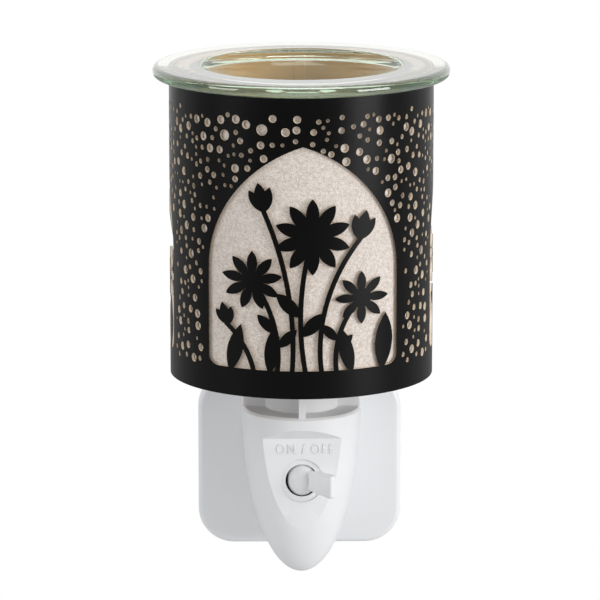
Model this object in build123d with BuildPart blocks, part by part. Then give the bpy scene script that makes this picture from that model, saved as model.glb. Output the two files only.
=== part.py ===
"""Plug-in wax melt warmer: a pierced shade and a glass dish over a small bulb, on a wall plug.

Millimetres, +Z up. The origin is the centre of the plate's wall face, +Y runs into the wall
and the front of the warmer looks along -Y. The lamp's axis is a vertical line in front of the wall.
"""

import os
from math import acos, cos, hypot, radians, sin, sqrt

from build123d import *

os.makedirs("parts", exist_ok=True)

# Back plate, a shallow pan that is closed from the wall side
plate_width = 64.0
plate_height = 55.2
plate_thickness = 6.0
plate_corner_radius = 11.4
plate_edge_radius = 1.6
moulding_wall = 1.8

# Housing, half an ellipse seen from the front, with a round nose about the lamp's axis
axis_from_wall = 47.0
shelf_height = 27.1
shelf_edge_chamfer = 0.7
housing_radius = 18.16
housing_drop = 52.4
nose_runs = 8
hollow_runs = 4

# Flat switch panel cut into the nose
panel_from_axis = 13.4
panel_below_shelf = 7.3
ledge_slope = 0.74
switch_below_shelf = 20.6
bezel_radius = 6.7
bezel_depth = 0.6

# Switch lever, a ball cut flat behind, on two trunnions, with a paddle in front and a tail
ball_radius = 5.3
ball_back = 2.0
pivot_behind_panel = 3.2
lever_turn = 41.0
paddle_reach = 14.2
paddle_thickness = 2.4
paddle_root_height = 5.3
paddle_tip_height = 7.4
paddle_edge_chamfer = 0.5
trunnion_radius = 1.1
tail_reach = 8.0
tail_thickness = 3.0
tail_height = 5.0

# Switch frame and contacts
frame_wall = 2.0
frame_width = 17.0
frame_leg_width = 9.0
frame_back_from_axis = 1.0
contact_strip = 0.6
contact_height = 3.5
contact_split = 2.0
contact_length = 4.0
contact_tab = 3.0

# Lampholder
collar_radius = 11.05
collar_bore = 9.3
collar_height = 28.9
collar_spigot = 10.4
collar_flange = 12.6
collar_flange_thickness = 2.0
collar_ledge = 1.0
fin_count = 4
fin_thickness = 2.1
fin_foot_radius = 17.9
fin_top_radius = 17.2
fin_height = 13.2
core_floor_height = 11.4
core_floor_thickness = 4.5
core_wall = 1.3
shell_wall = 0.35
shell_height = 15.0
shell_flange_bore = 4.0
shell_pin_offset = 5.0
rivet_head_radius = 3.0
rivet_head_height = 0.6
rivet_radius = 0.9
rivet_tail = 2.0

# Pygmy bulb with a small Edison screw cap
bulb_length = 48.0
bulb_radius = 10.9
bulb_glass_wall = 0.8
bulb_neck_radius = 6.1
cap_radius = 6.95
cap_wall = 0.4
cap_height = 12.0
insulator_height = 3.0
pip_radius = 2.4
pip_height = 1.0
stem_base_radius = 4.6
stem_top_radius = 1.8
stem_height = 13.0
lead_radius = 0.3
lead_sides = 6
lead_rise = 5.0
lead_bend = 0.8
filament_radius = 0.15
filament_span = 11.0
filament_rise = 2.5

# Shade
shade_diameter = 80.0
shade_height = 91.0
shade_sheet = 0.8
shade_above_shelf = 11.2
liner_sheet = 0.6
hoop_height = 7.5
hoop_sheet = 0.8
spider_sheet = 1.0
spider_flange = 5.0
spider_web = 4.0
spider_hub_width = 7.0
spoke_count = 4
spoke_width = 6.0

# Pierced pattern: arched windows with flowers, and dots between them
window_count = 3
window_half_width = 28.0
window_sill = 8.5
window_spring = 38.0
window_apex = 76.0
window_corner_radius = 3.0
dot_tries = 44
dot_smallest = 0.7
dot_largest = 1.7
dot_margin = 1.6
dot_zone_top = 85.0
dot_step_across = 0.75488
dot_step_up = 0.56984
dot_step_size = 0.61803
stem_width = 1.5
leaf_fatness = 0.42
leaf_share = 0.62
leaf_low = 0.28
leaf_high = 0.42
grass_fatness = 0.3
root = -0.02
petal_fatness = 0.42
daisy_eye = 0.37
bud_spread = 24.0
bud_seat = 0.94
bud_step = 1.2

# Glass dish
dish_diameter = 90.0
rim_thickness = 3.6
bowl_mouth_radius = 30.5
bowl_floor_radius = 22.0
bowl_depth = 14.0
dish_glass = 3.0
dish_step = 1.2
lip_chamfer = 0.8
bowl_corner_chamfer = 1.5

# Plug pins, rectangular, 22.2 mm apart
pin_spacing = 22.2
pin_width = 6.35
pin_depth = 4.0
pin_length = 17.7
pin_tail = 2.2
pin_sleeve_length = 9.5
pin_sleeve_wall = 0.6
pin_chamfer = 0.8
earth_width = 4.0
earth_depth = 8.0
earth_length = 22.7

# Wires and screws
wire_radius = 0.9
wire_sides = 6
wire_bend = 2.2
wire_slack = 9.0
screw_radius = 1.2
screw_head_radius = 2.3
screw_head_height = 1.5
screw_grip = 4.5
boss_radius = 3.0
rear_boss_length = 8.0
boss_below_shelf = 10.1
boss_sink = 0.5
back_screw_inset = 8.0
back_head_height = 1.0
back_screw_length = 4.4

# Clearances: between moving bodies, between fitted pieces of one body, and for a turning pin
running_gap = 0.3
seat_gap = 0.1
pin_gap = 0.06

# Places worked out from the sizes above
lamp_axis = Axis((0, -axis_from_wall, 0), (0, 0, 1))
lamp_section = Plane.XZ.offset(axis_from_wall)
shelf_under = shelf_height - moulding_wall
pan_depth = plate_thickness - moulding_wall
switch_height = shelf_height - switch_below_shelf
panel_y = -panel_from_axis - axis_from_wall
panel_inside_y = panel_y + moulding_wall
pivot_y = panel_y + pivot_behind_panel
ledge_foot = shelf_height - panel_below_shelf
ledge_inside = ledge_foot + moulding_wall * (hypot(1, ledge_slope) - ledge_slope)
below_nose = shelf_height - 2 * housing_drop
fin_top = shelf_height + fin_height
shade_bottom = shelf_height + shade_above_shelf
shade_top = shade_bottom + shade_height
shade_radius = shade_diameter / 2
shade_bore = shade_radius - shade_sheet
lining_radius = shade_bore - running_gap
hub_bore = max(collar_radius, bulb_radius) + running_gap + seat_gap
core_bottom = shelf_under - collar_flange_thickness + collar_ledge
floor_top = shelf_height + core_floor_height
contact_bottom = floor_top + rivet_head_height + running_gap
cap_bottom = contact_bottom + pip_height + insulator_height
cap_top = cap_bottom + cap_height
bulb_top = contact_bottom + bulb_length


def hand_in(part, name):
    """Label a finished piece and write it."""
    part.label = name
    export_step(part, f"parts/{name}.step")


def nose_edge(inset, top):
    """The right edge of the housing from its tip up to a height, half an ellipse moved in by a wall."""
    width = housing_radius - inset
    height = housing_drop - inset
    sweep_angle = acos((shelf_height - top) / height)
    places = []
    for i in range(nose_runs + 1):
        angle = sweep_angle * i / nose_runs
        places.append((width * sin(angle), shelf_height - height * cos(angle)))
    with BuildLine(mode=Mode.PRIVATE):
        edge = Spline(*places)
    return edge


def nose_profile(inset):
    """The right half of the housing's front outline, moved in by a wall, with a chamfered shelf."""
    shelf = shelf_height - inset
    edge = nose_edge(inset, shelf - shelf_edge_chamfer)
    shelf_edge = edge @ 1 + Vector(-shelf_edge_chamfer, shelf_edge_chamfer)
    with BuildSketch(mode=Mode.PRIVATE) as half:
        with BuildLine():
            add(edge)
            Polyline(edge @ 1, shelf_edge, (0, shelf), edge @ 0)
        make_face()
    return half.sketch


def hollow_profile():
    """The right half of the front cover's hollow: straight runs inside the nose's edge."""
    edge = nose_edge(moulding_wall, shelf_under)
    runs = [edge @ (i / hollow_runs) for i in range(hollow_runs + 1)]
    with BuildSketch(mode=Mode.PRIVATE) as half:
        with BuildLine():
            Polyline(*runs, (0, shelf_under), close=True)
        make_face()
    return half.sketch


def housing_outline(inset):
    """The whole front outline of the housing, drawn in a plane of X and Z."""
    with BuildSketch(mode=Mode.PRIVATE) as outline:
        add(nose_profile(inset))
        mirror(about=Plane.YZ)
    return outline.sketch


def panel_block(face_y, foot):
    """The block in front of the panel, under a ledge that slopes up to the front."""
    with BuildSketch(Plane.YZ, mode=Mode.PRIVATE) as block:
        with BuildLine():
            Polyline(
                (face_y, below_nose),
                (face_y, foot),
                (face_y - housing_radius, foot + ledge_slope * housing_radius),
                (face_y - housing_radius, below_nose),
                close=True,
            )
        make_face()
    return block.sketch


# Screw places that the two half shells share
boss_x = housing_radius - moulding_wall - boss_radius
boss_low = shelf_height - housing_drop + moulding_wall + boss_radius - boss_sink
boss_places = [
    (-boss_x, shelf_height - boss_below_shelf),
    (boss_x, shelf_height - boss_below_shelf),
    (0, boss_low),
]
front_half_turn = Axis((0, -axis_from_wall, 0), (0, 0, -1))

# Hollow of the front cover, which leaves the panel's wall and three screw bosses
with BuildPart() as front_hollow:
    with BuildSketch(lamp_section):
        add(hollow_profile())
    revolve(axis=front_half_turn, revolution_arc=180)
    extrude(panel_block(panel_inside_y, ledge_inside), housing_radius, both=True, mode=Mode.SUBTRACT)
    with BuildSketch(lamp_section):
        with Locations(*boss_places):
            Circle(boss_radius)
    extrude(amount=housing_radius, mode=Mode.SUBTRACT)

# Front cover: the round nose with its flat panel, the switch hole and half of the shelf
with BuildPart() as front_cover:
    with BuildSketch(lamp_section):
        add(nose_profile(0))
    revolve(axis=front_half_turn, revolution_arc=180)
    extrude(panel_block(panel_y, ledge_foot), housing_radius, both=True, mode=Mode.SUBTRACT)
    add(front_hollow.part, mode=Mode.SUBTRACT)
    with BuildSketch(Plane.XZ.offset(axis_from_wall + panel_from_axis - bezel_depth)):
        with Locations((0, switch_height)):
            Circle(bezel_radius)
    extrude(amount=bezel_depth, mode=Mode.SUBTRACT)
    with Locations((0, pivot_y, switch_height)):
        Sphere(ball_radius + running_gap, mode=Mode.SUBTRACT)
    with BuildSketch(Plane.XY.offset(shelf_under)):
        with Locations((0, -axis_from_wall)):
            Circle(collar_spigot + seat_gap)
    extrude(amount=moulding_wall, mode=Mode.SUBTRACT)
    with BuildSketch(lamp_section):
        with Locations(*boss_places):
            Circle(screw_radius + pin_gap)
    extrude(amount=screw_grip, mode=Mode.SUBTRACT)
hand_in(front_cover.part, "front_cover")

# Hollow of the rear housing, which leaves the screw bosses and two ribs behind the switch
leg_inside = ball_radius + running_gap + seat_gap
leg_outside = leg_inside + frame_wall
frame_back_y = frame_back_from_axis + frame_wall - axis_from_wall
with BuildPart() as rear_hollow:
    with BuildSketch(Plane.XZ.offset(pan_depth)):
        add(housing_outline(moulding_wall))
    extrude(amount=axis_from_wall - pan_depth)
    with BuildSketch(lamp_section):
        with Locations(*boss_places):
            Circle(boss_radius)
    extrude(amount=-rear_boss_length, mode=Mode.SUBTRACT)
    for side in (-1, 1):
        with Locations((0, frame_back_y, switch_height + side * (leg_inside + frame_wall / 2))):
            Box(
                2 * housing_radius,
                moulding_wall,
                frame_wall,
                align=(Align.CENTER, Align.MIN, Align.CENTER),
                mode=Mode.SUBTRACT,
            )

# Rear housing: the plate's pan and the straight half of the housing in one moulding
cover_thickness = moulding_wall
back_screw_x = plate_width / 2 - back_screw_inset
back_screw_z = plate_height / 2 - back_screw_inset
back_screw_places = GridLocations(2 * back_screw_x, 2 * back_screw_z, 2, 2)
with BuildPart() as rear_housing:
    with BuildSketch(Plane.XZ):
        RectangleRounded(plate_width, plate_height, plate_corner_radius)
    extrude(amount=plate_thickness)
    fillet(rear_housing.edges().group_by(Axis.Y)[0], plate_edge_radius)
    with BuildSketch(Plane.XZ):
        RectangleRounded(
            plate_width - 2 * moulding_wall,
            plate_height - 2 * moulding_wall,
            plate_corner_radius - moulding_wall,
        )
    extrude(amount=pan_depth, mode=Mode.SUBTRACT)
    with BuildSketch(Plane.XZ.offset(plate_thickness)):
        add(housing_outline(0))
    extrude(amount=axis_from_wall - plate_thickness)
    with BuildSketch(Plane.XZ.offset(cover_thickness)):
        with back_screw_places:
            Circle(boss_radius)
    extrude(amount=pan_depth - cover_thickness)
    with BuildSketch(Plane.XZ.offset(cover_thickness)):
        with back_screw_places:
            Circle(screw_radius + pin_gap)
    extrude(amount=back_screw_length + seat_gap - cover_thickness, mode=Mode.SUBTRACT)
    add(rear_hollow.part, mode=Mode.SUBTRACT)
    with BuildSketch(Plane.XY.offset(shelf_under)):
        with Locations((0, -axis_from_wall)):
            Circle(collar_spigot + seat_gap)
    extrude(amount=moulding_wall, mode=Mode.SUBTRACT)
    with BuildSketch(lamp_section):
        with Locations(*boss_places):
            Circle(screw_radius + pin_gap)
    extrude(amount=-rear_boss_length, mode=Mode.SUBTRACT)
hand_in(rear_housing.part, "rear_housing")

# Back cover: closes the pan flush with the wall face and holds the three pins
pin_x = pin_spacing / 2
pin_z = -pin_spacing / 2
with BuildPart() as back_cover:
    with BuildSketch(Plane.XZ):
        RectangleRounded(
            plate_width - 2 * moulding_wall - 2 * seat_gap,
            plate_height - 2 * moulding_wall - 2 * seat_gap,
            plate_corner_radius - moulding_wall - seat_gap,
        )
        with Locations((-pin_x, pin_z), (pin_x, pin_z)):
            Rectangle(pin_width + seat_gap, pin_depth + seat_gap, mode=Mode.SUBTRACT)
        with Locations((0, -pin_z)):
            Rectangle(earth_width + seat_gap, earth_depth + seat_gap, mode=Mode.SUBTRACT)
    extrude(amount=cover_thickness)
    with BuildSketch(Plane.XZ):
        with back_screw_places:
            Circle(screw_head_radius + seat_gap)
    extrude(amount=back_head_height, mode=Mode.SUBTRACT)
    with BuildSketch(Plane.XZ):
        with back_screw_places:
            Circle(screw_radius + seat_gap)
    extrude(amount=cover_thickness, mode=Mode.SUBTRACT)
hand_in(back_cover.part, "back_cover")


def plug_pin(x):
    """A flat brass pin through the back cover, necked where its insulating sleeve lies."""
    with BuildPart() as pin:
        with BuildSketch(Plane.XZ.offset(cover_thickness + pin_tail)):
            with Locations((x, pin_z)):
                Rectangle(pin_width, pin_depth)
        extrude(amount=-(cover_thickness + pin_tail + pin_length))
        chamfer(pin.edges().group_by(Axis.Y)[-1], pin_chamfer)
        with BuildSketch(Plane.XZ):
            with Locations((x, pin_z)):
                Rectangle(pin_width, pin_depth)
                Rectangle(
                    pin_width - 2 * pin_sleeve_wall,
                    pin_depth - 2 * pin_sleeve_wall,
                    mode=Mode.SUBTRACT,
                )
        extrude(amount=-pin_sleeve_length, mode=Mode.SUBTRACT)
    return pin.part


def pin_sleeve(x):
    """The insulating sleeve that fills the neck of a pin."""
    with BuildPart() as sleeve:
        with BuildSketch(Plane.XZ):
            with Locations((x, pin_z)):
                Rectangle(pin_width, pin_depth)
                Rectangle(
                    pin_width - 2 * pin_sleeve_wall + 2 * pin_gap,
                    pin_depth - 2 * pin_sleeve_wall + 2 * pin_gap,
                    mode=Mode.SUBTRACT,
                )
        extrude(amount=-pin_sleeve_length)
    return sleeve.part


# Pins: live on the right seen from the front, neutral on the left, a plastic earth pin above
hand_in(plug_pin(pin_x), "live_pin")
hand_in(plug_pin(-pin_x), "neutral_pin")
hand_in(pin_sleeve(pin_x), "live_pin_sleeve")
hand_in(pin_sleeve(-pin_x), "neutral_pin_sleeve")
with BuildPart() as earth_pin:
    with BuildSketch(Plane.XZ.offset(cover_thickness + pin_tail)):
        with Locations((0, -pin_z)):
            Rectangle(earth_width, earth_depth)
    extrude(amount=-(cover_thickness + pin_tail + earth_length))
    chamfer(earth_pin.edges().group_by(Axis.Y)[-1], pin_chamfer)
hand_in(earth_pin.part, "earth_pin")

# Switch lever, resting with its paddle turned to the right
turn = radians(lever_turn)
pivot = (0, pivot_y, switch_height)
lever_plane = Plane(pivot, x_dir=(cos(turn), sin(turn), 0), z_dir=(0, 0, 1))
paddle_root = Plane(pivot, x_dir=(cos(turn), sin(turn), 0), z_dir=(sin(turn), -cos(turn), 0))
paddle_side = Plane(pivot, x_dir=(sin(turn), -cos(turn), 0), z_dir=(cos(turn), sin(turn), 0))
with BuildPart() as switch_lever:
    with BuildSketch(paddle_side):
        with BuildLine():
            Polyline(
                (0, -paddle_root_height / 2),
                (paddle_reach, -paddle_tip_height / 2),
                (paddle_reach, paddle_tip_height / 2),
                (0, paddle_root_height / 2),
                close=True,
            )
        make_face()
    extrude(amount=paddle_thickness / 2, both=True)
    chamfer(switch_lever.edges(), paddle_edge_chamfer)
    with Locations(lever_plane):
        Sphere(ball_radius)
    with Locations(lever_plane * Location((0, ball_back, 0))):
        Box(
            2 * ball_radius,
            ball_radius,
            2 * ball_radius,
            align=(Align.CENTER, Align.MIN, Align.CENTER),
            mode=Mode.SUBTRACT,
        )
    with BuildSketch(paddle_root):
        Rectangle(tail_thickness, tail_height)
    extrude(amount=-tail_reach)
    with Locations(lever_plane):
        Cylinder(trunnion_radius, 2 * leg_outside)
hand_in(switch_lever.part, "switch_lever")

# Moving contact, a bridge on the end of the lever's tail
bridge_height = contact_split + 2 * contact_height
with BuildPart() as moving_contact:
    with Locations(lever_plane * Location((0, tail_reach + contact_strip / 2, 0))):
        Box(contact_length, contact_strip, bridge_height)
hand_in(moving_contact.part, "moving_contact")

# Fixed contacts, where the bridge arrives when the lever is turned to the left
sweep_radius = hypot(tail_reach + contact_strip, contact_length / 2)
stand_off = sweep_radius + running_gap + contact_strip / 2
strip_middle = Vector(stand_off * sin(turn), pivot_y + stand_off * cos(turn))
strip_along = Vector(cos(turn), -sin(turn)) * (contact_length / 2)
tab_end = frame_back_y + contact_tab
strip_inner = strip_middle - strip_along
strip_route = [strip_middle + strip_along, strip_inner, Vector(strip_inner.X, tab_end)]


def fixed_contact(bottom):
    """A bent brass strip that reaches through the back of the switch frame."""
    with BuildPart() as strip:
        with BuildSketch(Plane.XY.offset(bottom)):
            with BuildLine() as bend:
                FilletPolyline(*strip_route, radius=contact_strip)
            trace(bend.line, contact_strip)
        extrude(amount=contact_height)
    return strip.part


upper_contact = switch_height + contact_split / 2
lower_contact = switch_height - contact_split / 2 - contact_height
hand_in(fixed_contact(upper_contact), "live_contact")
hand_in(fixed_contact(lower_contact), "lamp_contact")

# Switch frame: two legs with slots for the trunnions, and a back that holds the contacts
slot_radius = trunnion_radius + pin_gap
with BuildPart() as switch_frame:
    with BuildSketch(Plane.XY.offset(switch_height - leg_outside)) as legs:
        with Locations((0, panel_inside_y)):
            Rectangle(
                frame_leg_width,
                frame_back_y - panel_inside_y,
                align=(Align.CENTER, Align.MIN),
            )
        with Locations((0, pivot_y)):
            Circle(slot_radius, mode=Mode.SUBTRACT)
            Rectangle(
                2 * slot_radius,
                pivot_behind_panel,
                align=(Align.CENTER, Align.MAX),
                mode=Mode.SUBTRACT,
            )
    extrude(amount=frame_wall)
    extrude(legs.sketch.moved(Location((0, 0, leg_inside + leg_outside))), amount=frame_wall)
    with Locations((0, frame_back_y, switch_height)):
        Box(
            frame_width,
            frame_wall,
            2 * leg_outside,
            align=(Align.CENTER, Align.MAX, Align.CENTER),
        )
    for bottom in (upper_contact, lower_contact):
        with Locations((strip_inner.X, frame_back_y, bottom + contact_height / 2)):
            Box(
                contact_strip + 2 * pin_gap,
                frame_wall,
                contact_height + 2 * pin_gap,
                align=(Align.CENTER, Align.MAX, Align.CENTER),
                mode=Mode.SUBTRACT,
            )
hand_in(switch_frame.part, "switch_frame")

# Lampholder collar: a sleeve through the shelf, with fins that carry the shade
collar_top = shelf_height + collar_height
flange_bottom = shelf_under - collar_flange_thickness
with BuildPart() as lampholder_collar:
    with BuildSketch(lamp_section):
        with BuildLine():
            Polyline(
                (collar_bore - collar_ledge, flange_bottom),
                (collar_flange, flange_bottom),
                (collar_flange, shelf_under),
                (collar_spigot, shelf_under),
                (collar_spigot, shelf_height),
                (collar_radius, shelf_height),
                (collar_radius, collar_top),
                (collar_bore, collar_top),
                (collar_bore, core_bottom),
                (collar_bore - collar_ledge, core_bottom),
                close=True,
            )
        make_face()
    revolve(axis=lamp_axis)
    fin_planes = [
        Plane(
            (0, -axis_from_wall, 0),
            x_dir=(cos(radians(a)), sin(radians(a)), 0),
            z_dir=(sin(radians(a)), -cos(radians(a)), 0),
        )
        for a in (360 * i / fin_count for i in range(fin_count))
    ]
    for fin_plane in fin_planes:
        with BuildSketch(fin_plane):
            with BuildLine():
                Polyline(
                    ((collar_bore + collar_radius) / 2, shelf_height),
                    (fin_foot_radius, shelf_height),
                    (fin_top_radius, fin_top),
                    ((collar_bore + collar_radius) / 2, fin_top),
                    close=True,
                )
            make_face()
        extrude(amount=fin_thickness / 2, both=True)
hand_in(lampholder_collar.part, "lampholder_collar")

# Lampholder core: an insulating cup with a floor for the two terminals
core_radius = collar_bore - seat_gap
floor_under = floor_top - core_floor_thickness
with BuildPart() as lampholder_core:
    with BuildSketch(lamp_section):
        with BuildLine():
            Polyline(
                (0, floor_under),
                (core_radius - core_wall, floor_under),
                (core_radius - core_wall, core_bottom),
                (core_radius, core_bottom),
                (core_radius, collar_top),
                (core_radius - core_wall, collar_top),
                (core_radius - core_wall, floor_top),
                (0, floor_top),
                close=True,
            )
        make_face()
    revolve(axis=lamp_axis)
    with BuildSketch(Plane.XY.offset(floor_under)):
        with Locations((0, -axis_from_wall), (-shell_pin_offset, -axis_from_wall)):
            Circle(rivet_radius + pin_gap)
    extrude(amount=core_floor_thickness, mode=Mode.SUBTRACT)
hand_in(lampholder_core.part, "lampholder_core")

# Screw shell of the lampholder, with a pin through the core's floor
shell_bore = cap_radius + running_gap
shell_radius = shell_bore + shell_wall
with BuildPart() as screw_shell:
    with BuildSketch(lamp_section):
        with BuildLine():
            Polyline(
                (shell_flange_bore, floor_top),
                (shell_radius, floor_top),
                (shell_radius, floor_top + shell_height),
                (shell_bore, floor_top + shell_height),
                (shell_bore, floor_top + shell_wall),
                (shell_flange_bore, floor_top + shell_wall),
                close=True,
            )
        make_face()
    revolve(axis=lamp_axis)
    with BuildSketch(Plane.XY.offset(floor_under - rivet_tail)):
        with Locations((-shell_pin_offset, -axis_from_wall)):
            Circle(rivet_radius)
    extrude(amount=core_floor_thickness + rivet_tail)
hand_in(screw_shell.part, "screw_shell")

# Centre contact, a brass rivet in the core's floor
with BuildPart() as centre_contact:
    with BuildSketch(Plane.XY.offset(floor_under - rivet_tail)):
        with Locations((0, -axis_from_wall)):
            Circle(rivet_radius)
    extrude(amount=core_floor_thickness + rivet_tail)
    with BuildSketch(Plane.XY.offset(floor_top)):
        with Locations((0, -axis_from_wall)):
            Circle(rivet_head_radius)
    extrude(amount=rivet_head_height)
hand_in(centre_contact.part, "centre_contact")

# Bulb contact, the solder pip under the cap
with BuildPart() as bulb_contact:
    with BuildSketch(Plane.XY.offset(contact_bottom)):
        with Locations((0, -axis_from_wall)):
            Circle(pip_radius)
    extrude(amount=pip_height)
    chamfer(bulb_contact.edges().group_by(Axis.Z)[0], pip_height / 2)
hand_in(bulb_contact.part, "bulb_contact")

# Bulb insulator, a black glass cone between pip and cap
with BuildPart() as bulb_insulator:
    with BuildSketch(lamp_section):
        with BuildLine():
            Polyline(
                (0, contact_bottom + pip_height),
                (pip_radius, contact_bottom + pip_height),
                (cap_radius - cap_wall, cap_bottom),
                (0, cap_bottom),
                close=True,
            )
        make_face()
    revolve(axis=lamp_axis)
hand_in(bulb_insulator.part, "bulb_insulator")

# Bulb cap, a thin screw shell
with BuildPart() as bulb_cap:
    with BuildSketch(Plane.XY.offset(cap_bottom)):
        with Locations((0, -axis_from_wall)):
            Circle(cap_radius)
            Circle(cap_radius - cap_wall, mode=Mode.SUBTRACT)
    extrude(amount=cap_height)
hand_in(bulb_cap.part, "bulb_cap")


def bulb_outline(inset):
    """Half of the bulb's section: a neck in the cap, a flare, straight sides and a round top."""
    radius = bulb_radius - inset
    neck = bulb_neck_radius - inset
    shoulder = cap_top + bulb_radius - bulb_neck_radius
    crown = bulb_top - bulb_radius
    with BuildSketch(mode=Mode.PRIVATE) as half:
        with BuildLine():
            Polyline((0, crown), (0, cap_bottom + inset), (neck, cap_bottom + inset), (neck, cap_top))
            Line((neck, cap_top), (radius, shoulder))
            Line((radius, shoulder), (radius, crown))
            CenterArc((0, crown), radius, 0, 90)
            Line((0, bulb_top - inset), (0, crown))
        make_face()
    return half.sketch


# Bulb glass, a thin envelope closed at the neck
with BuildPart() as bulb_glass:
    with BuildSketch(lamp_section):
        add(bulb_outline(0))
        add(bulb_outline(bulb_glass_wall), mode=Mode.SUBTRACT)
    revolve(axis=lamp_axis)
hand_in(bulb_glass.part, "bulb_glass")

# Glass stem inside the bulb
stem_bottom = cap_bottom + bulb_glass_wall
stem_top = stem_bottom + cap_height + stem_height
with BuildPart() as bulb_stem:
    with BuildSketch(lamp_section):
        with BuildLine():
            Polyline(
                (0, stem_bottom),
                (stem_base_radius, stem_bottom),
                (stem_top_radius, cap_top),
                (stem_top_radius, stem_top),
                (0, stem_top),
                close=True,
            )
        make_face()
    revolve(axis=lamp_axis)
hand_in(bulb_stem.part, "bulb_stem")

# Lead wires from the stem, bent apart to hold the filament's arc
lead_top = stem_top + lead_rise
lead_foot = stem_top_radius / 2
filament_reach = filament_span / 2
with BuildPart() as bulb_wires:
    for side in (-1, 1):
        with BuildLine() as lead:
            FilletPolyline(
                (side * lead_foot, -axis_from_wall, stem_top),
                (side * lead_foot, -axis_from_wall, stem_top + lead_rise / 2),
                (side * filament_reach, -axis_from_wall, lead_top),
                radius=lead_bend,
            )
        with BuildSketch(Plane(lead.line @ 0, z_dir=lead.line % 0)):
            RegularPolygon(lead_radius, lead_sides)
        sweep(path=lead.line)
hand_in(bulb_wires.part, "bulb_wires")

# Filament, a shallow arc just above the ends of the leads
filament_foot = lead_top + lead_radius + pin_gap
with BuildPart() as bulb_filament:
    with BuildLine() as arc:
        ThreePointArc(
            (-filament_reach, -axis_from_wall, filament_foot),
            (0, -axis_from_wall, filament_foot + filament_rise),
            (filament_reach, -axis_from_wall, filament_foot),
        )
    with BuildSketch(Plane(arc.line @ 0, z_dir=arc.line % 0)):
        RegularPolygon(filament_radius, lead_sides)
    sweep(path=arc.line)
hand_in(bulb_filament.part, "bulb_filament")


def wire(points):
    """An insulated wire along straight runs with round bends."""
    with BuildPart() as run:
        with BuildLine() as route:
            FilletPolyline(*points, radius=wire_bend)
        with BuildSketch(Plane(route.line @ 0, z_dir=route.line % 0)):
            RegularPolygon(wire_radius, wire_sides)
        sweep(path=route.line)
    return run.part


# Wires: live pin to switch, switch to the centre contact, neutral pin to the screw shell
tail_y = -cover_thickness - pin_tail / 2
tail_side = pin_x - pin_width / 2 - seat_gap
tab_x = strip_inner.X
tab_y = tab_end + seat_gap
drop_y = -plate_thickness - wire_slack
riser_z = (switch_height + leg_outside + flange_bottom) / 2
terminal_z = floor_under - rivet_tail - seat_gap
live_z = upper_contact + contact_height / 2
lamp_z = lower_contact + contact_height / 2
live_wire = wire(
    [
        (tab_x, tab_y, live_z),
        (tab_x, tab_y + wire_slack, live_z),
        (tab_x, drop_y, pin_z),
        (tab_x, tail_y, pin_z),
        (tail_side, tail_y, pin_z),
    ]
)
hand_in(live_wire, "live_wire")
lamp_wire = wire(
    [
        (tab_x, tab_y, lamp_z),
        (tab_x, tab_y + wire_slack / 2, lamp_z),
        (0, tab_y + wire_slack, switch_height + tab_x),
        (0, tab_y + wire_slack / 2, riser_z),
        (0, -axis_from_wall, riser_z),
        (0, -axis_from_wall, terminal_z),
    ]
)
hand_in(lamp_wire, "lamp_wire")
neutral_wire = wire(
    [
        (-tail_side, tail_y, pin_z),
        (-tab_x, tail_y, pin_z),
        (-tab_x, drop_y, pin_z),
        (-shell_pin_offset, tab_y + wire_slack, riser_z),
        (-shell_pin_offset, -axis_from_wall, riser_z),
        (-shell_pin_offset, -axis_from_wall, terminal_z),
    ]
)
hand_in(neutral_wire, "neutral_wire")

# Screws that draw the two half shells together, put in from the rear half
with BuildPart() as cover_screws:
    with BuildSketch(lamp_section.offset(-rear_boss_length)):
        with Locations(*boss_places):
            Circle(screw_radius)
    extrude(amount=rear_boss_length + screw_grip - seat_gap)
    with BuildSketch(lamp_section.offset(-rear_boss_length)):
        with Locations(*boss_places):
            Circle(screw_head_radius)
    extrude(amount=-screw_head_height)
hand_in(cover_screws.part, "cover_screws")

# Screws that hold the back cover, flush with the wall face
with BuildPart() as back_screws:
    with BuildSketch(Plane.XZ):
        with back_screw_places:
            Circle(screw_radius)
    extrude(amount=back_screw_length)
    with BuildSketch(Plane.XZ):
        with back_screw_places:
            Circle(screw_head_radius)
    extrude(amount=back_head_height)
hand_in(back_screws.part, "back_screws")


def facing(angle, distance=0):
    """A plane at a distance from the lamp's axis, facing out at an angle from the front."""
    a = radians(angle)
    outward = Vector(sin(a), -cos(a), 0)
    foot = Vector(0, -axis_from_wall, shade_bottom) + outward * distance
    return Plane(foot, x_dir=(cos(a), sin(a), 0), z_dir=outward)


# Window of the shade: a pointed arch, from which flowers and leaves are left standing
window_height = window_apex - window_sill
arch_radius = (window_half_width**2 + (window_apex - window_spring) ** 2) / (2 * window_half_width)


def arch_half_width(height):
    """How far the arch reaches from its middle at a height above the shade's bottom."""
    above = max(0.0, height - window_spring)
    return sqrt(max(0.0, arch_radius**2 - above**2)) - arch_radius + window_half_width


def spot(across, up):
    """A point of the window, by its shares of the half width and of the height."""
    return Vector(across * window_half_width, window_sill + up * window_height)


def leaf(base, tip, fatness):
    """A leaf left standing, between two arcs from its base to its tip."""
    bulge = fatness * (tip - base).length / 2
    with BuildLine() as edge:
        SagittaArc(base, tip, bulge)
        SagittaArc(tip, base, bulge)
    make_face(edge.edges(), mode=Mode.SUBTRACT)


def stem(foot, top, bend):
    """A stem left standing, one thin arc."""
    with BuildLine() as spine:
        SagittaArc(foot, top, bend)
    trace(spine.line, stem_width, mode=Mode.SUBTRACT)
    return spine.line


def daisy(centre, radius, petals):
    """A round flower left standing: petals about a disc."""
    with Locations(centre):
        Circle(radius * daisy_eye, mode=Mode.SUBTRACT)
    for i in range(petals):
        ray = Vector(0, 1).rotate(Axis.Z, 360 * i / petals)
        leaf(centre + ray * (radius * daisy_eye / 2), centre + ray * radius, petal_fatness)


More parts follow.
